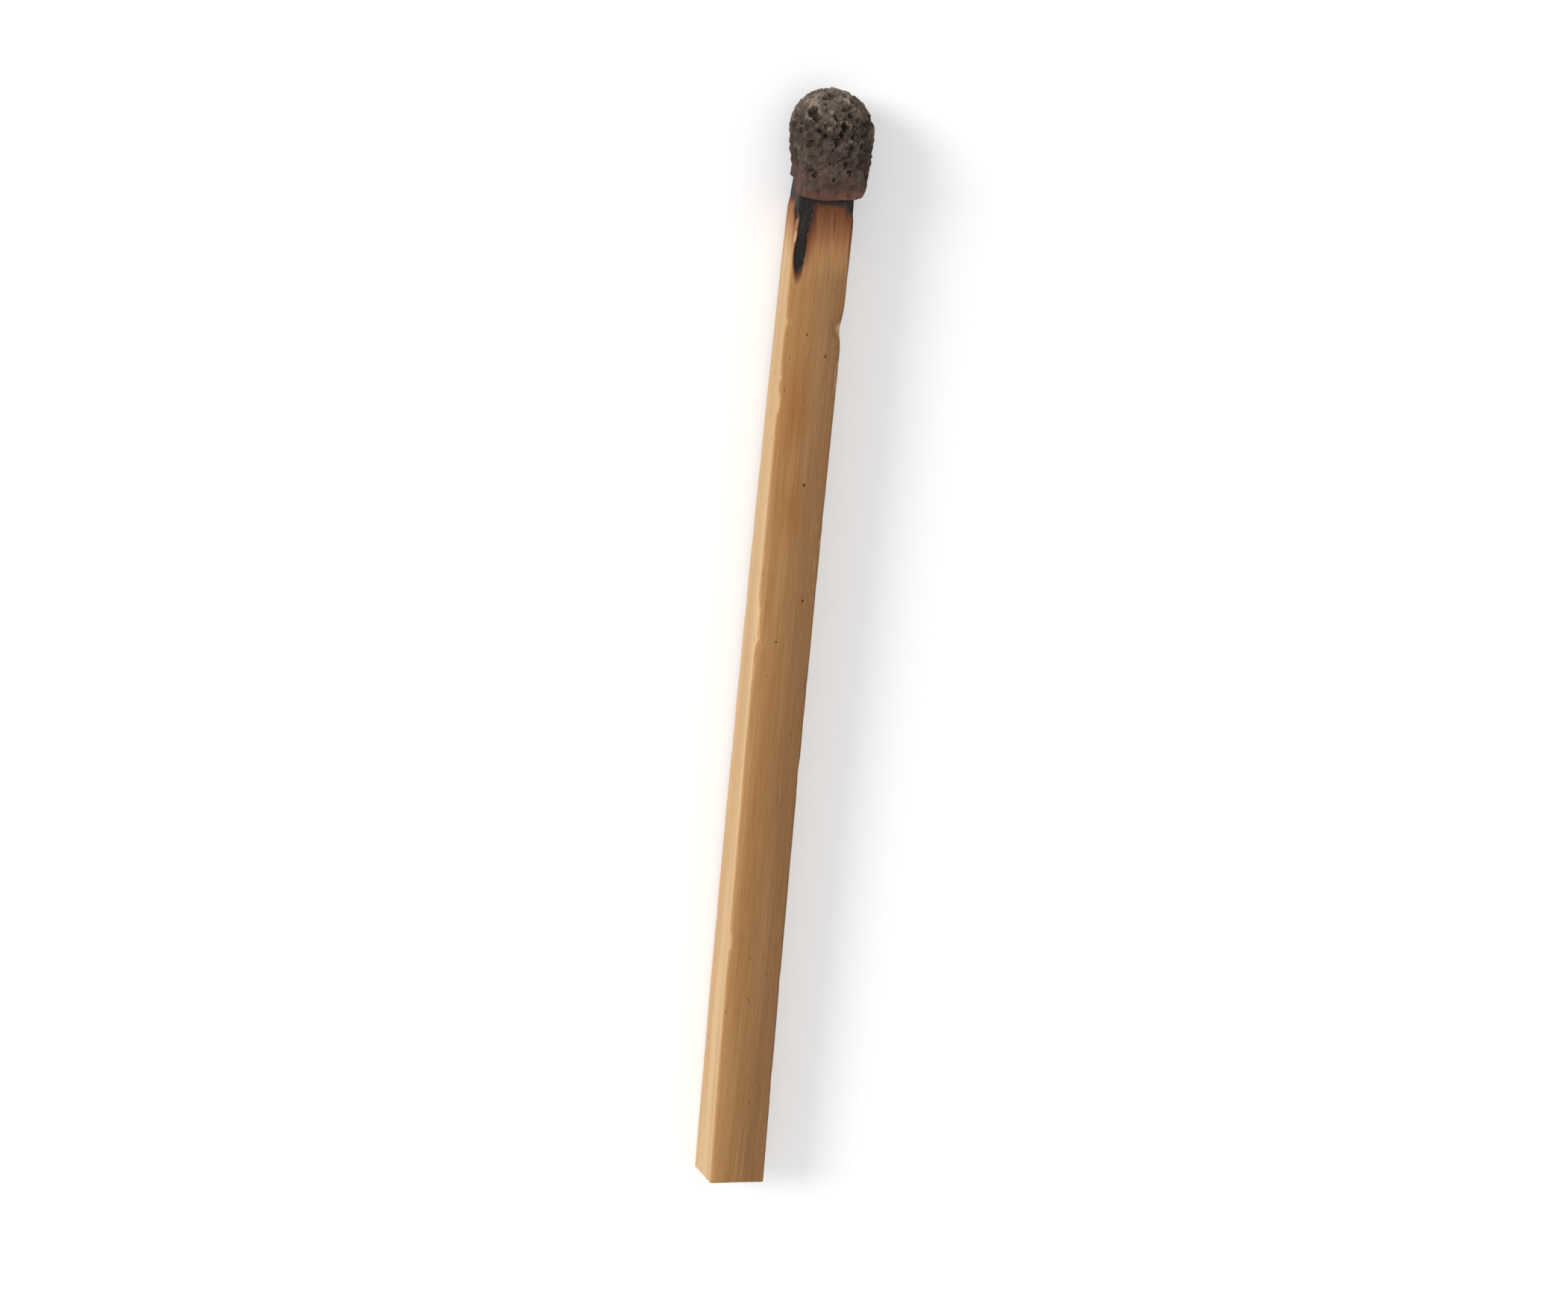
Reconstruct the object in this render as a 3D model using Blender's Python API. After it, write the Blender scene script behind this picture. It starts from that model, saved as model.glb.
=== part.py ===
"""Burnt wooden match, lying as it comes to rest: a square splint whose burnt end sits in a spent,
blistered head. Metres, +Z up, the head towards +X. Angles round the match are in degrees, from +Y
towards +Z, so 90 is the side that faces up and the sides' corners are near 45, 135, 225 and 315."""

import math
import random

import bmesh
import bpy
from mathutils import Matrix, Vector, noise

# Splint, as it was cut
SPLINT_LENGTH = 0.0430
SPLINT_WIDTH = 0.0023
SPLINT_THICKNESS = 0.0021
EDGE_ROUND = 0.00010
SIDEWAYS_BOW = 0.00020
UPWARD_BOW = 0.00012
TWIST_TO_HEAD = -10.0
CUT_HOLLOW = 0.00003
CUT_WAVE_PITCH = 0.0060

# Burnt end of the splint. Charcoal shrinks, most of all at the tip that the head grips, and tongues
# of it run down the grain from the head.
GRIP = 0.0031
CHAR_SHRINK = 0.00006
TIP_SHRINK = 0.00025
SOCKET_GAP = 0.00006
CHAR_COLLAR = 0.00030
CHAR_FADE = 0.00050
TONGUE_BLUNTNESS = 2.6
FRONT_TONGUE_LENGTH = 0.0031
FRONT_TONGUE_ANGLE = 51.0
FRONT_TONGUE_SPREAD = 12.0
RIGHT_TONGUE_LENGTH = 0.0016
RIGHT_TONGUE_ANGLE = 168.0
RIGHT_TONGUE_SPREAD = 34.0
BACK_TONGUE_LENGTH = 0.0021
BACK_TONGUE_ANGLE = 246.0
BACK_TONGUE_SPREAD = 32.0

# Chips out of the splint's long edges: distance below the head, angle
CHIPS = ((0.0008, 38.0), (0.0049, 138.0), (0.0172, 42.0), (0.0291, 222.0))
CHIP_DEPTH = 0.00013
CHIP_LENGTH = 0.00050
CHIP_SPREAD = 11.0

# Spent head, measured from the splint that it was dipped on
CRUST_SIDE = 0.00047
CRUST_TOP = 0.00115
CRUST_MOUTH = 0.00013
CRUST_THINNEST = 0.00007
RIM_TUCK = 0.85
RIM_HEIGHT = 0.00080
WIDEST_AT = 0.60
LEAN_AT_MOUTH = -0.00026
LEAN_AT_TOP = 0.00002
LUMP_HEIGHT = 0.00007
LUMP_PITCH = 0.00060
LUMP_OCTAVES = 3

# The crust has drawn back from two sides of its mouth: distance, middle angle, spread. Its rim wanders
# a little elsewhere.
DRAWN_BACK = ((0.00068, 335.0, 50.0), (0.00016, 158.0, 42.0))
RIM_WANDER = 0.00012
RIM_WAVES = 1.8

# Gas bubbles that burst through the skin. The deep ones: share of the head's height, angle, radius.
# Where they overlap they run together into one torn hollow.
DEEP_PORES = (
    (0.80, 47.0, 0.00027),
    (0.76, 55.0, 0.00022),
    (0.69, 102.0, 0.00021),
    (0.62, 97.0, 0.00021),
    (0.55, 90.0, 0.00017),
    (0.50, 49.0, 0.00020),
    (0.64, 13.0, 0.00022),
    (0.63, 62.0, 0.00013),
    (0.80, 115.0, 0.00014),
    (0.93, 68.0, 0.00020),
    (0.52, 130.0, 0.00015),
    (0.23, 59.0, 0.00016),
    (0.27, 111.0, 0.00014),
    (0.04, 117.0, 0.00016),
)
SMALL_PORES = 70
SMALL_PORE_RADIUS = 0.00014
LARGE_PORE_RADIUS = 0.00026
PORE_DEPTH = 0.95
PORE_MERGING = 3.0
PORE_LIP = 0.09
PORE_WOBBLE = 0.00006
PORE_WOBBLE_PITCH = 0.00050
PORE_SPACING = 0.90
PORE_SEED = 11
WOBBLE_SEED = 1795855466

# Mesh fineness
STEPS_ACROSS_SIDE = 8
PLAIN_STEP = 0.0022
FINE_STEP = 0.00018
TIP_STEPS = 4
HEAD_AROUND = 102
LOWER_RINGS = 31
DOME_RINGS = 23
SMOOTH_UNDER = math.radians(35)

MOUTH_X = SPLINT_LENGTH - GRIP
HEAD_LENGTH = GRIP + CRUST_TOP


def smoothstep(value):
    value = min(max(value, 0.0), 1.0)
    return value * value * (3 - 2 * value)


def bump(offset, spread):
    return math.exp(-((offset / spread) ** 2))


def angle_between(first, second):
    return abs((first - second + 180) % 360 - 180)


def section_reach(angle, grow=0.0):
    """From the centre of the splint's rounded section, grown by a margin, to its edge."""
    half_y = SPLINT_WIDTH / 2 + grow
    half_z = SPLINT_THICKNESS / 2 + grow
    corner = max(EDGE_ROUND, EDGE_ROUND + grow)
    across = abs(math.cos(math.radians(angle)))
    up = abs(math.sin(math.radians(angle)))
    if across * (half_z - corner) >= up * half_y:
        return half_y / across
    if up * (half_y - corner) >= across * half_z:
        return half_z / up
    towards = across * (half_y - corner) + up * (half_z - corner)
    beyond = (half_y - corner) ** 2 + (half_z - corner) ** 2 - corner**2
    return towards + math.sqrt(max(towards**2 - beyond, 0.0))


def splint_angles():
    """Angles of the splint's section points: even steps along each side and three on each corner."""
    half_y = SPLINT_WIDTH / 2
    half_z = SPLINT_THICKNESS / 2
    side = [half_y, half_z - EDGE_ROUND, half_y - EDGE_ROUND, half_z]
    rises = [math.degrees(math.atan2(side[1] * step, side[0])) for step in quarter_steps()]
    falls = [math.degrees(math.atan2(side[3], side[2] * step)) for step in reversed(quarter_steps())]
    quarter = rises + [(rises[-1] + falls[0]) / 2] + falls
    angles = set()
    for angle in quarter:
        for turned in (angle, 180 - angle, 180 + angle, 360 - angle):
            angles.add(round(turned % 360, 6))
    return sorted(angles)


def quarter_steps():
    half_steps = STEPS_ACROSS_SIDE // 2
    return [step / half_steps for step in range(half_steps + 1)]


def splint_axis(x):
    """Turn of the splint's section at x, and its centre."""
    share = x / SPLINT_LENGTH
    turn = Matrix.Rotation(math.radians(TWIST_TO_HEAD) * share, 3, "X")
    bowed = 4 * share * (1 - share)
    return turn, Vector((x, SIDEWAYS_BOW * bowed, UPWARD_BOW * bowed))


def outward(angle):
    return Vector((0, math.cos(math.radians(angle)), math.sin(math.radians(angle))))


def burn_reach(angle):
    """How far below the head the wood is charred, at one angle."""
    reach = CHAR_COLLAR
    for length, middle, spread in (
        (FRONT_TONGUE_LENGTH, FRONT_TONGUE_ANGLE, FRONT_TONGUE_SPREAD),
        (RIGHT_TONGUE_LENGTH, RIGHT_TONGUE_ANGLE, RIGHT_TONGUE_SPREAD),
        (BACK_TONGUE_LENGTH, BACK_TONGUE_ANGLE, BACK_TONGUE_SPREAD),
    ):
        off = angle_between(angle, middle) / spread
        reach = max(reach, length * (1 - off**TONGUE_BLUNTNESS))
    return reach


def char_amount(x, angle):
    """1 where the wood is burnt to charcoal, 0 where it is sound."""
    return smoothstep((burn_reach(angle) - (MOUTH_X - x)) / CHAR_FADE + 0.5)


def chip_depth(x, angle):
    depth = 0.0
    for below_head, chip_angle in CHIPS:
        along = bump(MOUTH_X - x - below_head, CHIP_LENGTH)
        around = bump(angle_between(angle, chip_angle), CHIP_SPREAD)
        depth = max(depth, CHIP_DEPTH * along * around)
    return depth


def tip_shrink(x):
    """How far the wood inside the head has shrunk: little at the mouth and most at its very tip."""
    return CHAR_SHRINK + (TIP_SHRINK - CHAR_SHRINK) * (x - MOUTH_X) / GRIP


def cut_hollow(x, angle):
    """Depth of the gentle waves that the cutting left between the splint's long edges."""
    across = abs(math.cos(math.radians(angle))) / SPLINT_WIDTH
    up = abs(math.sin(math.radians(angle))) / SPLINT_THICKNESS
    off_middle = min(across, up) / max(across, up)
    wave = noise.noise(outward(angle) + Vector((x / CUT_WAVE_PITCH, 0, 0)))
    return CUT_HOLLOW * (1 + wave) / 2 * (1 - off_middle**2)


def splint_ring(x):
    turn, centre = splint_axis(x)
    ring = []
    for angle in splint_angles():
        if x < MOUTH_X:
            shrunk = CHAR_SHRINK * char_amount(x, angle)
            lost = cut_hollow(x, angle) + chip_depth(x, angle)
        else:
            shrunk = tip_shrink(x)
            lost = 0.0
        reach = section_reach(angle, -shrunk) - lost
        ring.append(turn @ (outward(angle) * reach) + centre)
    return ring


def spaced(first, last, step):
    count = max(1, math.ceil((last - first) / step))
    return [first + (last - first) * index / count for index in range(count + 1)]


def splint_stations():
    """Places of the splint's rings: few along sound wood, many at chips and burns."""
    longest_burn = max(burn_reach(angle) for angle in range(360)) + CHAR_FADE
    wanted = spaced(MOUTH_X - longest_burn, MOUTH_X, FINE_STEP)
    for below_head, _ in CHIPS:
        middle = MOUTH_X - below_head
        wanted += spaced(middle - 2 * CHIP_LENGTH, middle + 2 * CHIP_LENGTH, CHIP_LENGTH / 2)
    wanted += spaced(0, MOUTH_X - longest_burn, PLAIN_STEP)
    wanted = sorted(x for x in wanted if 0 < x < MOUTH_X - FINE_STEP)
    stations = [0.0]
    for x in wanted:
        if x - stations[-1] > FINE_STEP / 2:
            stations.append(x)
    return stations + spaced(MOUTH_X, SPLINT_LENGTH, GRIP / TIP_STEPS)


def skin(rings):
    """Closed skin over rings of points. A ring of one point closes an end to a tip."""
    bm = bmesh.new()
    loops = [[bm.verts.new(point) for point in ring] for ring in rings]
    for near, far in zip(loops, loops[1:]):
        count = max(len(near), len(far))
        for index in range(count):
            after = (index + 1) % count
            if len(near) == 1:
                bm.faces.new((near[0], far[after], far[index]))
            elif len(far) == 1:
                bm.faces.new((near[index], near[after], far[0]))
            else:
                bm.faces.new((near[index], near[after], far[after], far[index]))
    for end in (loops[0], loops[-1]):
        if len(end) > 1:
            bm.faces.new(end)
    bmesh.ops.recalc_face_normals(bm, faces=bm.faces)
    return bm


def add_object(name, bm, material):
    mesh = bpy.data.meshes.new(name)
    bm.to_mesh(mesh)
    bm.free()
    mesh.materials.append(material)
    mesh.shade_smooth()
    mesh.set_sharp_from_angle(angle=SMOOTH_UNDER)
    made = bpy.data.objects.new(name, mesh)
    bpy.context.scene.collection.objects.link(made)
    return made


def add_material(name, colour, roughness):
    material = bpy.data.materials.new(name)
    material.use_nodes = True
    shader = material.node_tree.nodes["Principled BSDF"]
    shader.inputs["Base Color"].default_value = (*colour, 1.0)
    shader.inputs["Roughness"].default_value = roughness
    shader.inputs["Metallic"].default_value = 0.0
    return material


def head_width_share(share):
    """Width of the head at a share of its height, from 0 at the mouth's to 1 at the widest."""
    if share < WIDEST_AT:
        return math.sin(math.pi / 2 * share / WIDEST_AT)
    return 1.0


def dome_share(share):
    up_dome = max(0.0, share - WIDEST_AT) / (1 - WIDEST_AT)
    return math.sqrt(max(0.0, 1 - up_dome**2))


def rim_tuck(share):
    """Share of the crust's thickness by which its rounded rim turns in towards the mouth."""
    up_rim = min(1.0, share * HEAD_LENGTH / RIM_HEIGHT)
    return RIM_TUCK * (1 - math.sqrt(1 - (1 - up_rim) ** 2))


def smooth_head_point(share, angle):
    """Head before it blistered, at a share of its height: square at the mouth and round above."""
    x = MOUTH_X + share * HEAD_LENGTH
    across, up = math.cos(math.radians(angle)), math.sin(math.radians(angle))
    widest_y = SPLINT_WIDTH / 2 + CRUST_SIDE
    widest_z = SPLINT_THICKNESS / 2 + CRUST_SIDE
    round_reach = 1 / math.hypot(across / widest_y, up / widest_z)
    square_reach = section_reach(angle, CRUST_MOUTH)
    widened = head_width_share(share)
    reach = (square_reach + (round_reach - square_reach) * widened) * dome_share(share)
    lean = LEAN_AT_MOUTH + (LEAN_AT_TOP - LEAN_AT_MOUTH) * share
    thickness = max(0.0, reach + lean * across - section_reach(angle))
    reach -= thickness * rim_tuck(share)
    turn, centre = splint_axis(x)
    drawn = RIM_WANDER * (1 + noise.noise(outward(angle) * RIM_WAVES)) / 2
    for distance, middle, spread in DRAWN_BACK:
        drawn += distance * bump(angle_between(angle, middle), spread)
    slide = Vector((drawn * (1 - share) ** 3, lean, 0))
    return turn @ (outward(angle) * reach + slide) + centre


def head_core(share):
    """Place inside the head that its skin swells and sinks away from."""
    return splint_axis(MOUTH_X + min(share, WIDEST_AT) * HEAD_LENGTH)[1]


def scattered_pores():
    """Centre and radius of each pore: the deep ones, then small ones wherever there is room."""
    pores = [(smooth_head_point(share, angle), radius) for share, angle, radius in DEEP_PORES]
    dice = random.Random(PORE_SEED)
    for _ in range(SMALL_PORES * 4):
        if len(pores) == SMALL_PORES + len(DEEP_PORES):
            break
        centre = smooth_head_point(dice.uniform(0.03, 1.0), dice.uniform(0, 360))
        radius = SMALL_PORE_RADIUS + (LARGE_PORE_RADIUS - SMALL_PORE_RADIUS) * dice.random() ** 3
        if all((centre - other).length > PORE_SPACING * (radius + size) for other, size in pores):
            pores.append((centre, radius))
    return pores


def blister(place, pores):
    """Height of the blistered skin over the smooth head: swellings, torn pores and the pores' lips."""
    height = LUMP_HEIGHT * noise.fractal(place / LUMP_PITCH, 1.0, 2.2, LUMP_OCTAVES)
    torn = place + noise.noise_vector(place / PORE_WOBBLE_PITCH) * PORE_WOBBLE
    depths = 0.0
    for centre, radius in pores:
        away = (torn - centre).length / radius
        if away < 1:
            depths += (PORE_DEPTH * radius * smoothstep(1.2 * (1 - away))) ** PORE_MERGING
        height += PORE_LIP * radius * bump(away - 1.1, 0.25)
    return height - depths ** (1 / PORE_MERGING)


def clear_of_socket(point):
    """Keeps the crust's skin outside the splint's tip by the thinnest crust."""
    if point.x > SPLINT_LENGTH + SOCKET_GAP + CRUST_THINNEST:
        return point
    turn, centre = splint_axis(point.x)
    local = turn.inverted() @ (point - centre)
    angle = math.degrees(math.atan2(local.z, local.y))
    least = section_reach(angle, SOCKET_GAP + CRUST_THINNEST - tip_shrink(point.x))
    reach = max(local.length, least)
    return turn @ (outward(angle) * reach) + centre


def head_shares():
    shares = [WIDEST_AT * step / LOWER_RINGS for step in range(LOWER_RINGS)]
    for step in range(DOME_RINGS):
        rise = math.sin(math.pi / 2 * step / DOME_RINGS)
        shares.append(WIDEST_AT + (1 - WIDEST_AT) * rise)
    return shares


def build_head(crust):
    noise.seed_set(WOBBLE_SEED)
    pores = scattered_pores()
    angles = [360 * index / HEAD_AROUND for index in range(HEAD_AROUND)]
    outside = []
    for share in head_shares():
        ring = []
        for angle in angles:
            place = smooth_head_point(share, angle)
            away = (place - head_core(share)).normalized()
            fade = smoothstep(share * HEAD_LENGTH / RIM_HEIGHT)
            ring.append(clear_of_socket(place + away * blister(place, pores) * fade))
        outside.append(ring)
    top = smooth_head_point(1.0, 90.0)
    outside.append([top + Vector((blister(top, pores), 0, 0))])

    socket = []
    for x in spaced(MOUTH_X, SPLINT_LENGTH + SOCKET_GAP, GRIP / TIP_STEPS):
        turn, centre = splint_axis(x)
        wall = SOCKET_GAP - tip_shrink(x)
        socket.append([turn @ (outward(angle) * section_reach(angle, wall)) + centre for angle in angles])
    for inner, rim in zip(socket[0], outside[0]):
        inner.x = rim.x
    socket_end = [splint_axis(SPLINT_LENGTH + SOCKET_GAP)[1]]
    return add_object("spent_head", skin([socket_end] + socket[::-1] + outside), crust)


def build_splint(wood):
    return add_object("splint", skin([splint_ring(x) for x in splint_stations()]), wood)


def resting_pitch(points):
    """Tilt that levels the two places, one near each end, that the match rests on."""
    lower = []
    for point in sorted(points, key=lambda each: (each.x, each.z)):
        while len(lower) > 1:
            before, last = lower[-2], lower[-1]
            turned = (last.x - before.x) * (point.z - before.z)
            if turned > (last.z - before.z) * (point.x - before.x):
                break
            lower.pop()
        lower.append(point)
    middle = (lower[0].x + lower[-1].x) / 2
    for left, right in zip(lower, lower[1:]):
        if left.x <= middle <= right.x:
            return math.atan2(right.z - left.z, right.x - left.x)
    return 0.0


def lay_down(objects):
    """Lays the match on its tail and head, with the middle of its footprint at the origin."""
    points = [vertex.co.copy() for each in objects for vertex in each.data.vertices]
    tilt = Matrix.Rotation(resting_pitch(points), 4, "Y")
    tilted = [tilt @ point for point in points]
    lowest = Vector([min(point[axis] for point in tilted) for axis in range(3)])
    highest = Vector([max(point[axis] for point in tilted) for axis in range(3)])
    middle = (lowest + highest) / 2
    settle = Matrix.Translation((-middle.x, -middle.y, -lowest.z)) @ tilt
    for each in objects:
        each.data.transform(settle)


def main():
    for old in list(bpy.data.objects):
        bpy.data.objects.remove(old)
    wood = add_material("aspen_wood", (0.60, 0.38, 0.20), 0.70)
    crust = add_material("spent_crust", (0.115, 0.090, 0.072), 0.90)
    lay_down((build_splint(wood), build_head(crust)))


main()
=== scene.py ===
import math
import random

import bpy
import numpy as np
from mathutils import Matrix, Vector, noise


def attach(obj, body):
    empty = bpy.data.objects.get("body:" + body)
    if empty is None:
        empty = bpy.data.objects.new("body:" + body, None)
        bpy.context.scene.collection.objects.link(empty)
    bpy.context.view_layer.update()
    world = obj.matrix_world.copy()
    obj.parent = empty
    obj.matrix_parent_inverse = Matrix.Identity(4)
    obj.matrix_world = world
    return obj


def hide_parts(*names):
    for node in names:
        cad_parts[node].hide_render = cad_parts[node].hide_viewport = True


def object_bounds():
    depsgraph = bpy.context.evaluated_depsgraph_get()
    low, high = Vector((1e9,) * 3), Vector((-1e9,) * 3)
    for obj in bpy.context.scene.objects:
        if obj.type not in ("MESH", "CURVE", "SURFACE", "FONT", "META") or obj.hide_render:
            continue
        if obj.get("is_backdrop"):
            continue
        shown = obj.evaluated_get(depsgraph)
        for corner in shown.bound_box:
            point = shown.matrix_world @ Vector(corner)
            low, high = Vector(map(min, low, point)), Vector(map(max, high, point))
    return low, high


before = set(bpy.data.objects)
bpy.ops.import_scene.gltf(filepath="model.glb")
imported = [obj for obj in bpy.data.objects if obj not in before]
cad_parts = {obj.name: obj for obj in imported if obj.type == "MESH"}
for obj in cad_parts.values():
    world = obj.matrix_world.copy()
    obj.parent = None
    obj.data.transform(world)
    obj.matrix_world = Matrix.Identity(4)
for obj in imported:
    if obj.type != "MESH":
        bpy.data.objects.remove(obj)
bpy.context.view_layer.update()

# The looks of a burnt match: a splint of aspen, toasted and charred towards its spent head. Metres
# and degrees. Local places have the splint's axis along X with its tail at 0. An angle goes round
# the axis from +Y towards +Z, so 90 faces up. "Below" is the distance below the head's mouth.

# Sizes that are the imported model's own
SPLINT_LENGTH = 0.0430
SPLINT_WIDTH = 0.0023
SPLINT_THICKNESS = 0.0021
EDGE_ROUND = 0.00010
SIDEWAYS_BOW = 0.00020
UPWARD_BOW = 0.00012
TWIST_TO_HEAD = -10.0
CUT_HOLLOW = 0.00003
CUT_WAVE_PITCH = 0.0060
GRIP = 0.0031
CHAR_SHRINK = 0.00006
TIP_SHRINK = 0.00025
SOCKET_GAP = 0.00006
CHAR_COLLAR = 0.00030
CHAR_FADE = 0.00050
CRUST_SIDE = 0.00047
CRUST_TOP = 0.00115
CRUST_MOUTH = 0.00013
CRUST_THINNEST = 0.00007
RIM_TUCK = 0.85
RIM_HEIGHT = 0.00080
WIDEST_AT = 0.60
LEAN_AT_MOUTH = -0.00026
LEAN_AT_TOP = 0.00002
DRAWN_BACK = ((0.00068, 335.0, 50.0), (0.00016, 158.0, 42.0))
RIM_WANDER = 0.00012
RIM_WAVES = 1.8
LUMP_HEIGHT = 0.00007
LUMP_PITCH = 0.00060
LUMP_OCTAVES = 3
DEEP_PORES = (
    (0.80, 47.0, 0.00027),
    (0.76, 55.0, 0.00022),
    (0.69, 102.0, 0.00021),
    (0.62, 97.0, 0.00021),
    (0.55, 90.0, 0.00017),
    (0.50, 49.0, 0.00020),
    (0.64, 13.0, 0.00022),
    (0.63, 62.0, 0.00013),
    (0.80, 115.0, 0.00014),
    (0.93, 68.0, 0.00020),
    (0.52, 130.0, 0.00015),
    (0.23, 59.0, 0.00016),
    (0.27, 111.0, 0.00014),
    (0.04, 117.0, 0.00016),
)
SMALL_PORES = 70
SMALL_PORE_RADIUS = 0.00014
LARGE_PORE_RADIUS = 0.00026
PORE_DEPTH = 0.95
PORE_MERGING = 3.0
PORE_LIP = 0.09
PORE_WOBBLE = 0.00006
PORE_WOBBLE_PITCH = 0.00050
PORE_SPACING = 0.90
PORE_SEED = 11
WOBBLE_SEED = 1795855466
CHIPS = ((0.0008, 38.0), (0.0049, 138.0), (0.0172, 42.0), (0.0291, 222.0))
CHIP_DEPTH = 0.00013
CHIP_LENGTH = 0.00050
CHIP_SPREAD = 11.0

MOUTH_X = SPLINT_LENGTH - GRIP
HEAD_LENGTH = GRIP + CRUST_TOP

# Burns on the splint: middle angle, spread, length below the head, fade along the grain, strongest.
# A spread of None goes all round.
BURNS = (
    (52.5, 10.5, 0.0027, 0.0009, 1.0),
    (58.0, 14.0, 0.0009, 0.0030, 0.85),
    (95.0, 62.0, 0.0003, 0.0030, 0.66),
    (111.0, 2.5, 0.0010, 0.0012, 0.72),
    (129.0, 5.0, 0.0004, 0.0010, 0.76),
    (140.0, 9.0, 0.0014, 0.0032, 0.66),
    (168.0, 34.0, 0.0014, 0.0016, 1.0),
    (246.0, 32.0, 0.0019, 0.0016, 1.0),
    (10.0, 34.0, 0.0000, 0.0006, 0.95),
    (32.0, 13.0, 0.0007, 0.0008, 0.92),
    (0.0, None, 0.0000, 0.0028, 0.50),
)
BURN_BLUNTNESS = 2.6
# Waves along and across the grain that lead the burns astray, and that lick their ends
STRAY_WAVES = (0.0016, 0.00022)
STRAY_ANGLE = 4
LICK_WAVES = (0.0040, 0.00010)
LICK_LENGTH = 0.00020
HAZE_LICK_LENGTH = 0.00030
# Where a burn turns to charcoal, and over how much of its level
CHARRED_FROM = 0.82
CHARRED_OVER = 0.18
# Wax-gold patches on the upper face: distance below the head, place across, half length, half width
GOLD_PATCHES = ((0.0082, 0.00035, 0.0017, 0.00050), (0.0121, 0.00015, 0.0013, 0.00045))
# Dark specks on the upper face: distance below the head, place across, radius
SPECKS = (
    (0.0052, 0.00023, 0.00005),
    (0.0060, -0.00060, 0.00006),
    (0.0111, -0.00027, 0.00007),
    (0.0157, -0.00065, 0.00006),
    (0.0174, 0.00029, 0.00005),
)
# Small relief of the wood: depths, and waves along and across the grain
NICK_DEPTH = 0.00008
NICK_WAVES = (0.0012, 0.00030)
NICK_SPREAD = 4.0
FIBRE_DEPTH = 0.000009
FIBRE_WAVES = (0.0026, 0.000085)
TEAR_WAVES = (0.0004, 0.00006)
SPECK_DEPTH = 0.00002
CRAZE_DEPTH = 0.000035
CRAZE_WAVES = (0.00030, 0.00050)
# The upper face ends this far below its middle, and fades out over this much
UPPER_EDGE = 0.00012
UPPER_FADE = 0.00010
# The tail's cut is pressed in a little, more in its middle, and roughened by its end grain
CUT_PRESSED = 0.00001
CUT_MIDDLE_PRESSED = 0.00003
CUT_MIDDLE = 0.35
END_GRAIN_PITCH = 0.00007

# Fineness of the meshes. The splint's rings stand closest from FINE_BELOW to FINE_INSIDE the head.
SIDE_STEPS = 50
CORNER_STEPS = 5
TAIL_RINGS = 14
FINE_STEP = 0.00005
FINE_BELOW = 0.0062
FINE_INSIDE = 0.0010
PLAIN_STEP = 0.00015
PLAIN_INSIDE = 0.0012
TIP_RINGS = 5
SPECK_RINGS = 7
CRUST_AROUND = 380
CRUST_LOWER_RINGS = 130
CRUST_DOME_RINGS = 105

# The head's finer skin. Its socket closes up to this gap at the mouth.
SNUG_GAP = 0.00001
PORE_FRAY = 0.00009
FRAY_PITCH = 0.00022
DEEP_PORE_STEEPNESS = 2.0
SMALL_PORE_STEEPNESS = 1.2
CLUMP_HEIGHT = 0.000035
CLUMP_PITCH = 0.00026
GRIT_HEIGHT = 0.000012
GRIT_PITCH = 0.000060
# Foam, coarse and fine: bubble pitch, depth, share of its bubbles that burst
FOAM = ((0.00040, 0.00015, 0.22), (0.00020, 0.00009, 0.34), (0.00010, 0.00005, 0.50))
FOAM_SWELL = 0.00001
FOAM_AT_RIM = 0.35
FOAM_ABOVE_RIM = 0.65
# How far down a pore or burst bubble is painted darkest, as painted shade in the hollows, and how
# much height takes a place from low to high
DARK_DEPTH = 0.00022
RAISED_RANGE = 0.00016
# Side of the head where its rim is reddest
RUDDY_MIDDLE = 125.0
RUDDY_SPREAD = 75.0

# Patterns in the finishes, as waves a metre along the splint and across it
GROWTH_BANDS = (45, 1500)
STREAKS = (130, 5200)
FIBRES = (420, 17000)
VESSELS = (900, 24000)
PALE_PRICKS = (1500, 13000)
END_GRAIN = (400, 14000)
SOOT = (2600, 5200)
CRUMBS = (9000, 15000)
CRAZING = (3600, 5200)
CLOUDS = (900, 900)
MOTTLE = (3300, 3300)
GRIT = (15000, 15000)
PALE_FLECKS = (9000, 9000)
# Depths of the relief in the finishes
GRAIN_RELIEF = 0.000030
CRAZING_RELIEF = 0.000020
GRIT_RELIEF = 0.000025


def smoothstep(value):
    value = np.clip(value, 0.0, 1.0)
    return value * value * (3 - 2 * value)


def bump(offset, spread):
    return np.exp(-((offset / spread) ** 2))


def angle_between(first, second):
    return np.abs((first - second + 180) % 360 - 180)


def field(points, pitch_along, pitch_across, octaves=1):
    """Smooth noise from about -1 to 1 at each point, with its pitch along X and across it."""
    scaled = points.reshape(-1, 3) / (pitch_along, pitch_across, pitch_across)
    if octaves == 1:
        values = [noise.noise(point) for point in scaled.tolist()]
    else:
        values = [noise.fractal(point, 1.0, 2.2, octaves) for point in scaled.tolist()]
    return np.array(values).reshape(points.shape[:-1])


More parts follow.
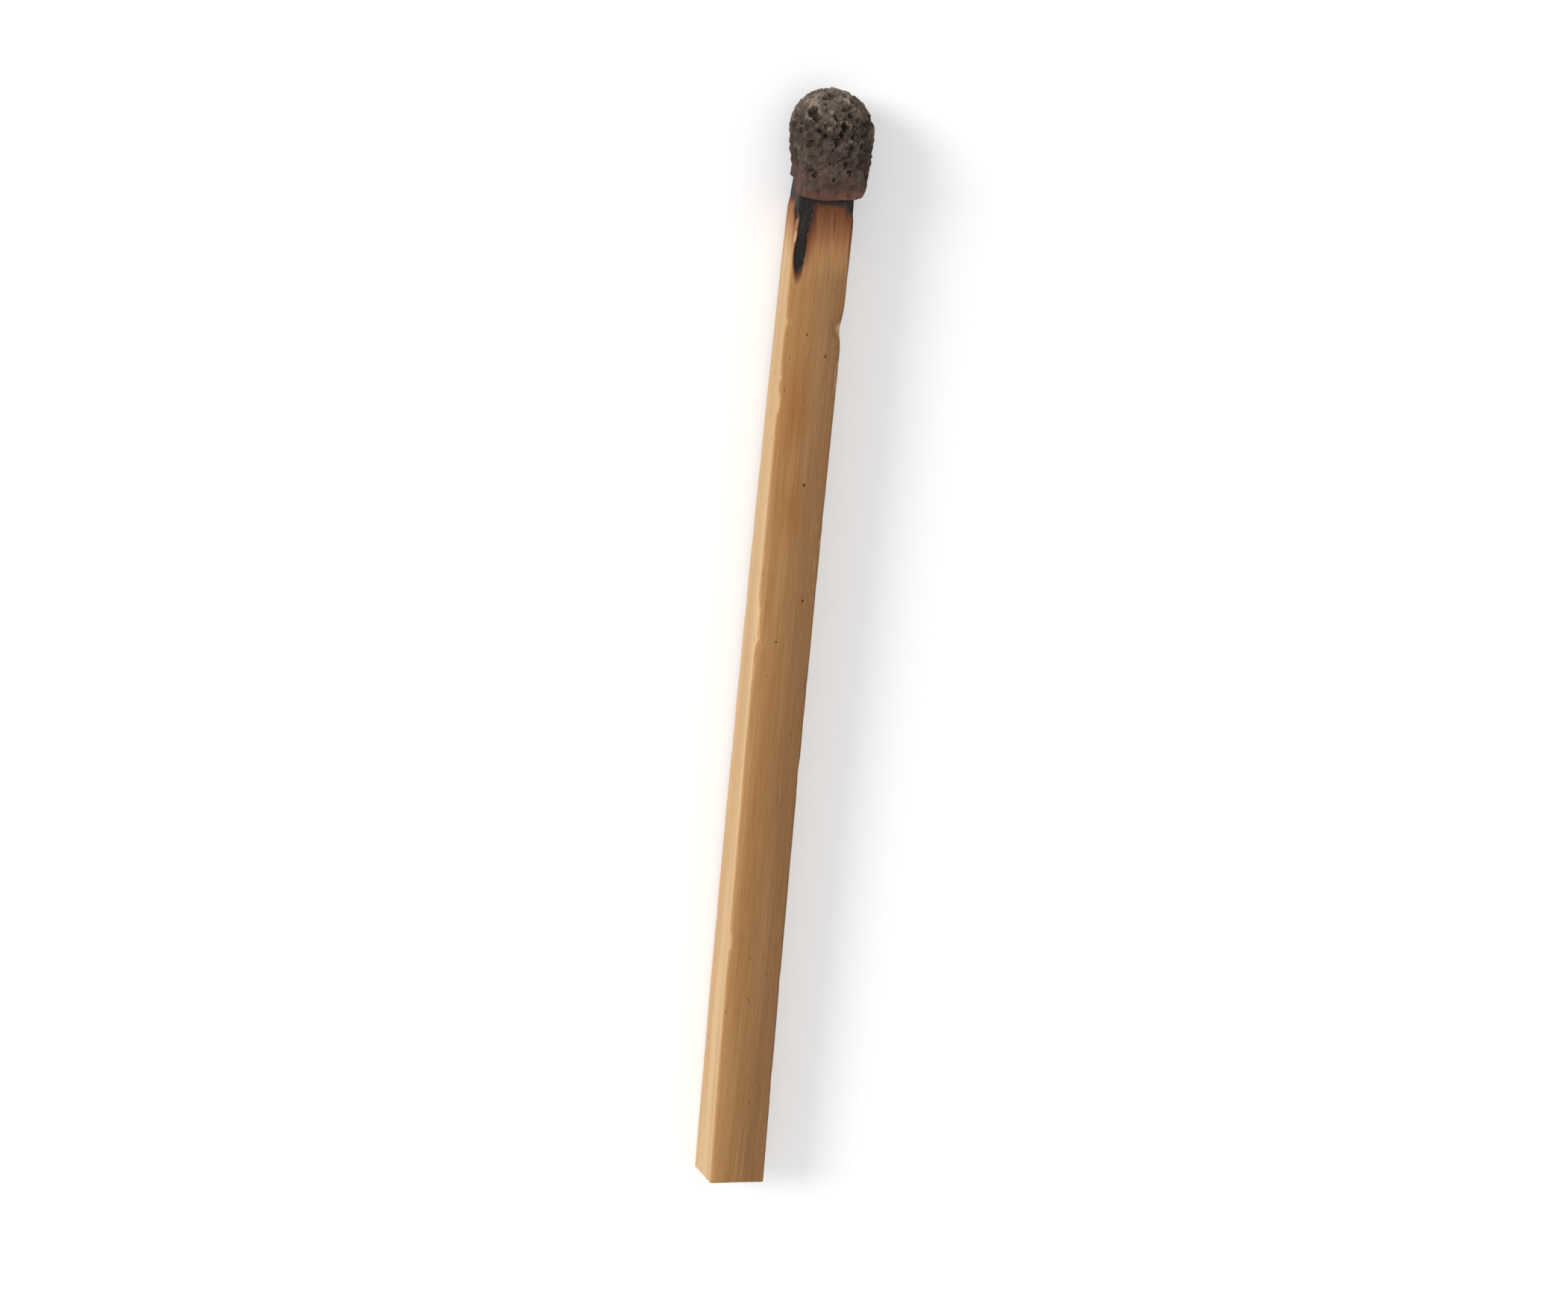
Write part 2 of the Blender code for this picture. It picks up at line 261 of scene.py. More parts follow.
def section_reach(angle, grow=0.0):
    """From the centre of the splint's rounded section, grown by a margin, to its edge."""
    half_y = SPLINT_WIDTH / 2 + grow
    half_z = SPLINT_THICKNESS / 2 + grow
    corner = EDGE_ROUND + np.maximum(grow, 0.0)
    across = np.maximum(np.abs(np.cos(np.radians(angle))), 1e-9)
    up = np.maximum(np.abs(np.sin(np.radians(angle))), 1e-9)
    towards = across * (half_y - corner) + up * (half_z - corner)
    beyond = (half_y - corner) ** 2 + (half_z - corner) ** 2 - corner**2
    arc = towards + np.sqrt(np.maximum(towards**2 - beyond, 0.0))
    on_side = across * (half_z - corner) >= up * half_y
    on_top = up * (half_y - corner) >= across * half_z
    return np.where(on_side, half_y / across, np.where(on_top, half_z / up, arc))


def along_axis(x, y, z):
    """Local places for section places: the section turns and sways along the splint."""
    share = x / SPLINT_LENGTH
    turn = np.radians(TWIST_TO_HEAD) * share
    bowed = 4 * share * (1 - share)
    return np.stack(
        (
            x + 0 * y,
            y * np.cos(turn) - z * np.sin(turn) + SIDEWAYS_BOW * bowed,
            y * np.sin(turn) + z * np.cos(turn) + UPWARD_BOW * bowed,
        ),
        axis=-1,
    )


def laid_down(points):
    """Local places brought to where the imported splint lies, read off its two ends."""
    packed = np.array([vertex.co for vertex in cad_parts["splint"].data.vertices])
    near_end = 0.00008
    tail = np.unique(packed[packed[:, 0] < packed[:, 0].min() + near_end], axis=0).mean(0)
    tip = np.unique(packed[packed[:, 0] > packed[:, 0].max() - near_end], axis=0).mean(0)
    rise = (tip[2] - tail[2]) / (tip[0] - tail[0])
    cosine = 1 / math.hypot(1, rise)
    sine = rise * cosine
    x, y, z = points[..., 0], points[..., 1], points[..., 2]
    return np.stack((x * cosine - z * sine, y, x * sine + z * cosine), axis=-1) + tail


def lofted(name, rings, start, end, marks):
    """Object over rings of points, closed by a point at each end. Marks are one number a point."""
    count = rings.shape[1]
    points = np.concatenate((rings.reshape(-1, 3), [start, end]))
    faces = []
    for ring in range(len(rings) - 1):
        near, far = ring * count, (ring + 1) * count
        for step in range(count):
            after = (step + 1) % count
            faces.append((near + step, near + after, far + after, far + step))
    last = (len(rings) - 1) * count
    for step in range(count):
        after = (step + 1) % count
        faces.append((len(points) - 2, after, step))
        faces.append((len(points) - 1, last + step, last + after))
    mesh = bpy.data.meshes.new(name)
    mesh.from_pydata(laid_down(points).tolist(), [], faces)
    mesh.update()
    for mark, values in marks.items():
        flat = np.concatenate((values.reshape(-1), [values[0].mean(), values[-1].mean()]))
        layer = mesh.attributes.new(mark, "FLOAT", "POINT")
        layer.data.foreach_set("value", flat.astype(np.float32))
    mesh.shade_smooth()
    made = bpy.data.objects.new(name, mesh)
    bpy.context.scene.collection.objects.link(made)
    return made


def outward(angle):
    return np.stack((0 * angle, np.cos(np.radians(angle)), np.sin(np.radians(angle))), axis=-1)


def tip_shrink(x):
    """How far the wood inside the head has shrunk: little at the mouth and most at its very tip."""
    return CHAR_SHRINK + (TIP_SHRINK - CHAR_SHRINK) * (x - MOUTH_X) / GRIP


def cut_hollow(x, angle):
    """Depth of the gentle waves that the cutting left between the splint's long edges."""
    across = np.abs(np.cos(np.radians(angle))) / SPLINT_WIDTH
    up = np.abs(np.sin(np.radians(angle))) / SPLINT_THICKNESS
    off_middle = np.minimum(across, up) / np.maximum(across, up)
    place = outward(angle)
    place[..., 0] = x / CUT_WAVE_PITCH
    return CUT_HOLLOW * (1 + field(place, 1.0, 1.0)) / 2 * (1 - off_middle**2)


def perimeter_angles():
    """Angles of evenly spread points on the splint's section, with more of them on its corners."""
    flat_y = SPLINT_WIDTH / 2 - EDGE_ROUND
    flat_z = SPLINT_THICKNESS / 2 - EDGE_ROUND
    corners = ((flat_y, flat_z), (-flat_y, flat_z), (-flat_y, -flat_z), (flat_y, -flat_z))
    arcs = []
    for quarter, (y, z) in enumerate(corners):
        turns = np.radians(np.linspace(0, 90, CORNER_STEPS + 1) + 90 * quarter)
        arc = []
        for turn in turns:
            arc.append((y + EDGE_ROUND * math.cos(turn), z + EDGE_ROUND * math.sin(turn)))
        arcs.append(arc)
    angles = []
    for arc, after in zip(arcs, arcs[1:] + arcs[:1]):
        along = np.linspace(arc[-1], after[0], SIDE_STEPS + 1)[1:-1]
        angles += [math.degrees(math.atan2(z, y)) % 360 for y, z in arc + along.tolist()]
    return np.array(sorted(angles))


def splint_stations():
    """Places of the rings along the splint, with more of them where it is burnt and at specks."""
    wanted = list(np.arange(0.0, MOUTH_X - FINE_BELOW, PLAIN_STEP))
    wanted += list(np.arange(MOUTH_X - FINE_BELOW, MOUTH_X + FINE_INSIDE, FINE_STEP))
    wanted += list(np.linspace(MOUTH_X + PLAIN_INSIDE, SPLINT_LENGTH, TIP_RINGS))
    for below, _, radius in SPECKS[2:]:
        low, high = MOUTH_X - below - 2 * radius, MOUTH_X - below + 2 * radius
        wanted += list(np.linspace(low, high, SPECK_RINGS))
    wanted.sort()
    stations = [wanted[0]]
    for x in wanted:
        if x - stations[-1] > FINE_STEP / 2:
            stations.append(x)
    return np.array(stations)


def burn_level(below, angle, places):
    """0 on sound wood, rising through toasted to 1 on charcoal. Burns creep along the grain."""
    strays = field(places, *STRAY_WAVES)
    licks = field(places, *LICK_WAVES)
    level = np.zeros(below.shape)
    for middle, spread, length, fade, strongest in BURNS:
        if spread is None:
            reach = length + HAZE_LICK_LENGTH * licks
        else:
            off = angle_between(angle + STRAY_ANGLE * strays, middle)
            reach = length * (1 - (off / spread) ** BURN_BLUNTNESS) + LICK_LENGTH * licks
        level = np.maximum(level, strongest * np.clip(1 + (reach - below) / fade, 0, 1))
    return level


def off_edge(angle):
    """How far each angle is from the nearest long edge."""
    corner = math.degrees(math.atan2(SPLINT_THICKNESS, SPLINT_WIDTH))
    edges = (corner, 180 - corner, 180 + corner, -corner)
    return np.minimum.reduce([angle_between(angle, edge) for edge in edges])


def chipped(below, angle, places):
    """1 in the middle of each chip out of the long edges, fading unevenly to 0 beside it."""
    torn = 1 + 0.5 * field(places, *TEAR_WAVES)
    chip = np.zeros(below.shape)
    for chip_below, chip_angle in CHIPS:
        along = bump(below - chip_below, CHIP_LENGTH)
        chip = np.maximum(chip, along * bump(angle_between(angle, chip_angle), CHIP_SPREAD) * torn)
    return chip


def specked(below, across):
    speck = np.zeros(below.shape)
    for speck_below, speck_across, radius in SPECKS:
        away = np.hypot(below - speck_below, across - speck_across) / radius
        speck = np.maximum(speck, smoothstep(1.6 - away))
    return speck


def gilded(below, across):
    gold = np.zeros(below.shape)
    for patch_below, patch_across, half_length, half_width in GOLD_PATCHES:
        along = bump(below - patch_below, half_length)
        gold = np.maximum(gold, along * bump(across - patch_across, half_width))
    return gold


def tail_cut(edge):
    """Rings from the middle of the tail's cut out to its edge."""
    rings = []
    for share in np.linspace(0.0, 0.97, TAIL_RINGS):
        pressed = CUT_PRESSED
        pressed += CUT_MIDDLE_PRESSED * smoothstep((CUT_MIDDLE - share) / CUT_MIDDLE)
        ring = edge * share
        grain = field(ring, 1.0, END_GRAIN_PITCH, 3)
        ring[:, 0] = pressed * smoothstep((1 - share) / 0.05) * (1 + 0.8 * grain)
        rings.append(ring)
    return np.array(rings)


def build_splint():
    x, angle = np.meshgrid(splint_stations(), perimeter_angles(), indexing="ij")
    below = MOUTH_X - x
    flat = section_reach(angle)
    across = flat * np.cos(np.radians(angle))
    up = flat * np.sin(np.radians(angle))
    places = along_axis(x, across, up)
    upper = smoothstep((up - SPLINT_THICKNESS / 2 + UPPER_EDGE) / UPPER_FADE)

    inside_head = smoothstep((-below - 0.0003) / 0.0003)
    burn = np.maximum(burn_level(below, angle, places), inside_head)
    char = smoothstep((burn - CHARRED_FROM) / CHARRED_OVER)
    collar = smoothstep((CHAR_COLLAR - below) / CHAR_FADE + 0.5)
    crack = np.abs(field(places, *CRAZE_WAVES, 2))
    crazed = smoothstep(1 - crack / 0.07) * char
    chip = chipped(below, angle, places)
    nicks = np.clip(field(places, *NICK_WAVES, 3) - 0.15, 0, 1) * bump(off_edge(angle), NICK_SPREAD)
    fibres = field(places, *FIBRE_WAVES, 2)
    speck = specked(below, across) * upper

    depth = CHAR_SHRINK * np.maximum(char, collar) + CHIP_DEPTH * chip + NICK_DEPTH * nicks
    depth += cut_hollow(x, angle) + FIBRE_DEPTH * (1 - fibres) * (1 + 0.8 * char)
    depth += SPECK_DEPTH * speck + CRAZE_DEPTH * crazed
    reach = np.where(below > 0, flat - depth, section_reach(angle, -tip_shrink(x)))
    rings = along_axis(x, reach * np.cos(np.radians(angle)), reach * np.sin(np.radians(angle)))

    cut = tail_cut(rings[0])
    marks = {
        "burn": burn,
        # painted shade: the upper face is darkened towards its -Y edge
        "grime": smoothstep(0.5 - across / SPLINT_WIDTH) * upper,
        "chip": np.clip(chip + 2 * nicks, 0, 1),
        "gold": gilded(below, across) * upper,
        "speck": speck,
        "upper": upper,
    }
    for mark, values in marks.items():
        on_cut = np.repeat(values[:1], len(cut) - 1, axis=0)
        marks[mark] = np.concatenate((on_cut, values))
    marks["cut_end"] = np.concatenate((np.ones(on_cut.shape), np.zeros(x.shape)))
    rings = np.concatenate((cut[1:], rings))
    splint = lofted("splint_wood", rings, cut[0].mean(0), rings[-1].mean(0), marks)
    splint.data.set_sharp_from_angle(angle=math.radians(60))
    return splint


def smooth_head(share, angle):
    """Local places on the head before it blistered: square at the mouth and round above."""
    share, angle = np.broadcast_arrays(np.asarray(share, float), np.asarray(angle, float))
    across, up = np.cos(np.radians(angle)), np.sin(np.radians(angle))
    widest_y = SPLINT_WIDTH / 2 + CRUST_SIDE
    widest_z = SPLINT_THICKNESS / 2 + CRUST_SIDE
    round_reach = 1 / np.hypot(across / widest_y, up / widest_z)
    square_reach = section_reach(angle, CRUST_MOUTH)
    widened = np.where(share < WIDEST_AT, np.sin(math.pi / 2 * share / WIDEST_AT), 1.0)
    up_dome = np.maximum(0.0, share - WIDEST_AT) / (1 - WIDEST_AT)
    dome = np.sqrt(np.maximum(0.0, 1 - up_dome**2))
    reach = (square_reach + (round_reach - square_reach) * widened) * dome
    lean = LEAN_AT_MOUTH + (LEAN_AT_TOP - LEAN_AT_MOUTH) * share
    thickness = np.maximum(0.0, reach + lean * across - section_reach(angle))
    up_rim = np.minimum(1.0, share * HEAD_LENGTH / RIM_HEIGHT)
    reach -= thickness * RIM_TUCK * (1 - np.sqrt(1 - (1 - up_rim) ** 2))
    places = along_axis(MOUTH_X + share * HEAD_LENGTH, across * reach + lean, up * reach)
    drawn = RIM_WANDER * (1 + field(outward(angle) * RIM_WAVES, 1.0, 1.0)) / 2
    for distance, middle, spread in DRAWN_BACK:
        drawn += distance * bump(angle_between(angle, middle), spread)
    places[..., 0] += drawn * (1 - share) ** 3
    return places


def scattered_pores():
    """Centre and radius of each pore: the deep ones, then small ones wherever there is room."""
    pores = [(smooth_head(share, angle), radius) for share, angle, radius in DEEP_PORES]
    dice = random.Random(PORE_SEED)
    for _ in range(SMALL_PORES * 4):
        if len(pores) == SMALL_PORES + len(DEEP_PORES):
            break
        centre = smooth_head(dice.uniform(0.03, 1.0), dice.uniform(0, 360))
        radius = SMALL_PORE_RADIUS + (LARGE_PORE_RADIUS - SMALL_PORE_RADIUS) * dice.random() ** 3
        room = [np.linalg.norm(centre - other) / (radius + size) for other, size in pores]
        if min(room) > PORE_SPACING:
            pores.append((centre, radius))
    return pores


def foam(places, pitch, burst_share):
    """How far each place is sunk into a burst bubble, from 0 on the walls between bubbles to 1."""
    sunk = []
    for point in (places / pitch).reshape(-1, 3).tolist():
        distances, centres = noise.voronoi(point)
        burst = (1 + noise.cell(centres[0] * 7.3)) / 2 < burst_share
        opened = distances[1] - distances[0]
        sunk.append(opened if burst else 0.12 * opened)
    return smoothstep(np.array(sunk).reshape(places.shape[:-1]) / 0.55)


def sunk_pores(places, pores, steepness):
    """Depth of the pores at each place, run together where they meet, and their lips' height."""
    depths = np.zeros(places.shape[:-1])
    lips = np.zeros(places.shape[:-1])
    for centre, radius in pores:
        away = np.linalg.norm(places - centre, axis=-1) / radius
        depths += (PORE_DEPTH * radius * smoothstep(steepness * (1 - away))) ** PORE_MERGING
        lips += PORE_LIP * radius * bump(away - 1.1, 0.25)
    return depths ** (1 / PORE_MERGING), lips


def head_grid():
    """Share of the head's height, and angle, at each point of its skin in rings from its mouth."""
    lower = [WIDEST_AT * step / CRUST_LOWER_RINGS for step in range(CRUST_LOWER_RINGS)]
    dome = []
    for step in range(CRUST_DOME_RINGS):
        rise = math.sin(math.pi / 2 * step / CRUST_DOME_RINGS)
        dome.append(WIDEST_AT + (1 - WIDEST_AT) * rise)
    around = np.arange(CRUST_AROUND) * 360 / CRUST_AROUND
    return np.meshgrid(np.array(lower + dome), around, indexing="ij")


def torn_places(places):
    """Places shifted a little, so that what is measured from them has torn edges."""
    noise.seed_set(WOBBLE_SEED)
    scaled = (places / PORE_WOBBLE_PITCH).reshape(-1, 3).tolist()
    wobble = np.array([noise.noise_vector(point) for point in scaled]).reshape(places.shape)
    frays = [field(places + shift, FRAY_PITCH, FRAY_PITCH, 3) for shift in (0.0, 0.01, 0.02)]
    return places + wobble * PORE_WOBBLE + np.stack(frays, -1) * PORE_FRAY


def socket_rings(around, mouth_x):
    """Rings of the hollow that holds the splint's tip, from its end out to the head's mouth."""
    deep_x, deep_angle = np.meshgrid(
        np.linspace(SPLINT_LENGTH + SOCKET_GAP, MOUTH_X, 5), around, indexing="ij"
    )
    wall = section_reach(deep_angle, SOCKET_GAP - tip_shrink(deep_x))
    across, up = np.cos(np.radians(deep_angle)), np.sin(np.radians(deep_angle))
    rings = along_axis(deep_x, wall * across, wall * up)
    snug = section_reach(around, SNUG_GAP - CHAR_SHRINK)
    rings[-1] = along_axis(mouth_x, snug * across[0], snug * up[0])
    return rings


def build_head():
    share, angle = head_grid()
    places = smooth_head(share, angle)
    cored = MOUTH_X + np.minimum(share, WIDEST_AT) * HEAD_LENGTH
    away = places - along_axis(cored, 0 * share, 0 * share)
    away /= np.linalg.norm(away, axis=-1, keepdims=True)

    torn = torn_places(places)
    pores = scattered_pores()
    deep, small = pores[: len(DEEP_PORES)], pores[len(DEEP_PORES) :]
    deep_sunk, deep_lips = sunk_pores(torn, deep, DEEP_PORE_STEEPNESS)
    small_sunk, small_lips = sunk_pores(torn, small, SMALL_PORE_STEEPNESS)
    foamed = np.zeros(share.shape)
    for pitch, deepest, burst_share in FOAM:
        foamed += deepest * foam(torn, pitch, burst_share)
    foamed *= FOAM_AT_RIM + FOAM_ABOVE_RIM * smoothstep((share - 0.12) / 0.35)
    lumps = field(places, LUMP_PITCH, LUMP_PITCH, LUMP_OCTAVES)
    clumps = field(places, CLUMP_PITCH, CLUMP_PITCH, 2)
    grit = field(places, GRIT_PITCH, GRIT_PITCH, 3)
    height = LUMP_HEIGHT * lumps + deep_lips + small_lips
    height = height + CLUMP_HEIGHT * clumps + GRIT_HEIGHT * grit
    height -= foamed + np.maximum(deep_sunk, small_sunk)
    height += FOAM_SWELL
    fade = smoothstep(share * HEAD_LENGTH / RIM_HEIGHT)
    skin = clear_of_socket(places + away * (height * fade)[..., None])

    socket = socket_rings(angle[0], skin[0, :, 0])
    inner = np.zeros(socket.shape[:2])
    # Painted shade: the deeper a place sinks into a pore or burst bubble, the darker it is painted
    painted_pore_shade = (deep_sunk + 0.6 * small_sunk + foamed) / DARK_DEPTH
    marks = {
        "pore": (inner + 1, np.clip(painted_pore_shade, 0, 1)),
        "raised": (inner, np.clip(0.5 + height / RAISED_RANGE, 0, 1)),
        "up_head": (inner, share),
        "ruddy": (inner, bump(angle_between(angle, RUDDY_MIDDLE), RUDDY_SPREAD)),
    }
    marks = {mark: np.concatenate(parts) for mark, parts in marks.items()}
    rings = np.concatenate((socket, skin))
    start = along_axis(np.array(SPLINT_LENGTH + SOCKET_GAP), np.array(0.0), np.array(0.0))
    end = rings[-1].mean(0)
    end[0] = min(end[0], smooth_head(1.0, 90.0)[0] + LUMP_HEIGHT)
    return lofted("head_crust", rings, start, end, marks)


def clear_of_socket(points):
    """Keeps the crust's skin outside the splint's tip by the thinnest crust."""
    x = points[..., 0]
    axis = along_axis(x, 0 * x, 0 * x)
    turn = np.radians(TWIST_TO_HEAD) * x / SPLINT_LENGTH
    off = points - axis
    y = off[..., 1] * np.cos(turn) + off[..., 2] * np.sin(turn)
    z = off[..., 2] * np.cos(turn) - off[..., 1] * np.sin(turn)
    angle = np.degrees(np.arctan2(z, y))
    least = section_reach(angle, SOCKET_GAP + CRUST_THINNEST - tip_shrink(x))
    length = np.hypot(y, z)
    beside_tip = x < SPLINT_LENGTH + SOCKET_GAP + CRUST_THINNEST
    grown = np.where(beside_tip, np.maximum(length, least), length) / np.maximum(length, 1e-9)
    moved = points.copy()
    moved[..., 1] = axis[..., 1] + off[..., 1] * grown
    moved[..., 2] = axis[..., 2] + off[..., 2] * grown
    return moved


class Wire:
    """A node's output. Sums on it add Math nodes to its finish."""

    def __init__(self, finish, socket):
        self.finish = finish
        self.socket = socket

    def sum(self, operation, first, second):
        return self.finish.node("ShaderNodeMath", {"operation": operation}, {0: first, 1: second})

    def __add__(self, other):
        return self.sum("ADD", self, other)

    def __radd__(self, other):
        return self.sum("ADD", other, self)

    def __sub__(self, other):
        return self.sum("SUBTRACT", self, other)

    def __rsub__(self, other):
        return self.sum("SUBTRACT", other, self)

    def __mul__(self, other):
        return self.sum("MULTIPLY", self, other)

    def __rmul__(self, other):
        return self.sum("MULTIPLY", other, self)


class Finish:
    """A material, built up node by node round one Principled shader."""

    def __init__(self, name):
        self.material = bpy.data.materials.new(name)
        self.material.use_nodes = True
        self.tree = self.material.node_tree
        self.shader = self.tree.nodes["Principled BSDF"]
        self.place = self.node("ShaderNodeTexCoord", output="Object")

    def node(self, kind, settings=None, inputs=None, output=0):
        """Adds a node: its settings and ramp stops first, then its sockets' values or wires."""
        made = self.tree.nodes.new(kind)
        for name, value in (settings or {}).items():
            if name == "stops":
                self.set_stops(made.color_ramp, value)
            else:
                setattr(made, name, value)
        for key, value in (inputs or {}).items():
            self.feed(made.inputs[key], value)
        return Wire(self, made.outputs[output])

    def feed(self, socket, value):
        if isinstance(value, Wire):
            self.tree.links.new(value.socket, socket)
        elif isinstance(value, tuple) and socket.type == "RGBA":
            socket.default_value = (*value, 1.0)
        else:
            socket.default_value = value

    def set_stops(self, ramp, stops):
        while len(ramp.elements) < len(stops):
            ramp.elements.new(0.5)
        for element, (place, colour) in zip(ramp.elements, stops):
            element.position = place
            element.color = (*colour, 1.0)

    def set(self, **sockets):
        for name, value in sockets.items():
            self.feed(self.shader.inputs[name.replace("_", " ")], value)

    def mark(self, name):
        return self.node("ShaderNodeAttribute", {"attribute_name": name}, output="Fac")

    def stretch(self, vector, along, across):
        """A place scaled by how many waves a metre a pattern has along X and across it."""
        inputs = {0: vector, 1: (along, across, across)}
        return self.node("ShaderNodeVectorMath", {"operation": "MULTIPLY"}, inputs)

    def noise(self, waves, detail=2.0, roughness=0.5):
        """Cloudy pattern from 0 to 1, with its waves a metre along X and across."""
        vector = self.stretch(self.place, *waves)
        inputs = {"Vector": vector, "Scale": 1.0, "Detail": detail, "Roughness": roughness}
        return self.node("ShaderNodeTexNoise", {"noise_dimensions": "3D"}, inputs)

    def step(self, value, low, high):
        """0 below low, 1 above high and smooth between."""
        inputs = {"Value": value, "From Min": low, "From Max": high}
        return self.node("ShaderNodeMapRange", {"interpolation_type": "SMOOTHSTEP"}, inputs)

    def ramp(self, value, stops):
        return self.node("ShaderNodeValToRGB", {"stops": stops}, {0: value})

    def blend(self, amount, first, second, how="MIX"):
        settings = {"data_type": "RGBA", "blend_type": how}
        return self.node("ShaderNodeMix", settings, {0: amount, 6: first, 7: second}, output=2)

    def dim(self, colour, amount):
        inputs = {0: colour, "Scale": amount}
        return self.node("ShaderNodeVectorMath", {"operation": "SCALE"}, inputs)

    def relief(self, height, distance, strength=1.0, under=None):
        inputs = {"Height": height, "Distance": distance, "Strength": strength}
        if under is not None:
            inputs["Normal"] = under
        return self.node("ShaderNodeBump", None, inputs)


def srgb(red, green, blue):
    """Linear colour from the 0 to 255 numbers of a paint chart."""
    parts = []
    for level in (red, green, blue):
        share = level / 255
        parts.append(share / 12.92 if share <= 0.04045 else ((share + 0.055) / 1.055) ** 2.4)
    return tuple(parts)


def wood_finish():
    wood = Finish("toasted_aspen")
    bands = wood.noise(GROWTH_BANDS, 3.0)
    streaks = wood.noise(STREAKS, 3.0)
    fibres = wood.noise(FIBRES, 3.0, 0.6)
    vessels = wood.noise(VESSELS, 1.0)
    pricks = wood.noise(PALE_PRICKS, 2.0)
    burn = wood.mark("burn")
    chip = wood.mark("chip")
    upper = wood.mark("upper")
    cut_end = wood.mark("cut_end")

    # Painted light and shade: the side faces get a paler wood and the upper face a darker, more
    # amber one, as lit and shaded copies of the wood
    pale_sides_painted_lit = wood.blend(wood.step(bands, 0.35, 0.65), srgb(203, 171, 130), srgb(190, 154, 111))
    amber_upper_painted_shade = wood.blend(wood.step(bands, 0.38, 0.62), srgb(182, 136, 87), srgb(168, 120, 70))
    sound = wood.blend(upper * 0.95, pale_sides_painted_lit, amber_upper_painted_shade)
    sound = wood.blend(wood.mark("gold") * 0.70, sound, srgb(160, 104, 50))
    # Painted shade: the upper face is painted darker towards its -Y edge
    sound = wood.blend(wood.mark("grime") * 0.66, sound, srgb(110, 76, 48))
    sound = wood.dim(sound, 0.92 + 0.16 * streaks)
    sound = wood.dim(sound, 0.94 + 0.12 * fibres)
    sound = wood.dim(sound, 1 - 0.20 * wood.step(vessels, 0.66, 0.76))
    sound = wood.blend(0.08 * wood.step(pricks, 0.60, 0.74), sound, srgb(232, 204, 164))

    scorched = wood.step(burn, 0.02, 0.25)
    streaky = burn + scorched * (streaks - 0.5) * 0.26 + scorched * (fibres - 0.5) * 0.16
    toast = wood.ramp(
        streaky,
        (
            (0.00, srgb(190, 148, 100)),
            (0.25, srgb(168, 122, 78)),
            (0.45, srgb(138, 92, 56)),
            (0.62, srgb(112, 65, 36)),
            (0.78, srgb(70, 43, 29)),
            (0.93, srgb(34, 28, 26)),
        ),
    )
    colour = wood.blend(wood.step(streaky, 0.04, 0.40), sound, toast)
    fresh = chip * (1 - wood.step(burn, 0.75, 0.95))
    colour = wood.blend(0.4 * wood.step(fresh, 0.6, 1.0), colour, srgb(226, 188, 140))

    end_grain = wood.step(wood.noise(END_GRAIN, 2.0), 0.30, 0.64)
    end_colour = wood.blend(end_grain, srgb(180, 138, 95), srgb(206, 167, 122))
    end_bands = wood.step(bands, 0.30, 0.70) * 0.35
    end_colour = wood.blend(end_bands, end_colour, srgb(172, 128, 84))
    colour = wood.blend(cut_end, colour, end_colour)
    crumbs = wood.noise(CRUMBS, 2.0)
    dirt = wood.step(wood.noise(SOOT, 3.0), 0.67, 0.76) * 0.5
    dirt = dirt + wood.step(wood.mark("speck") + 1.2 * (crumbs - 0.5), 0.35, 0.95) * 0.8
    colour = wood.blend(wood.step(dirt, 0.0, 1.0), colour, srgb(48, 34, 26))

    charred = wood.step(streaky, 0.72, 0.92)
    crazing = wood.node(
        "ShaderNodeTexVoronoi",
        {"feature": "DISTANCE_TO_EDGE"},
        {"Vector": wood.stretch(wood.place, *CRAZING), "Scale": 1.0},
    )
    checks = wood.step(crazing, 0.0, 0.10)
    grain = wood.relief(fibres + 0.5 * streaks, GRAIN_RELIEF, 0.8)
    height = (1 - charred) * 0.5 + charred * checks * 0.5
    wood.set(
        Base_Color=colour,
        Roughness=0.66 + 0.14 * fibres - 0.20 * charred,
        Specular_IOR_Level=0.25,
        Normal=wood.relief(height, CRAZING_RELIEF, 0.7, grain),
    )
    return wood.material


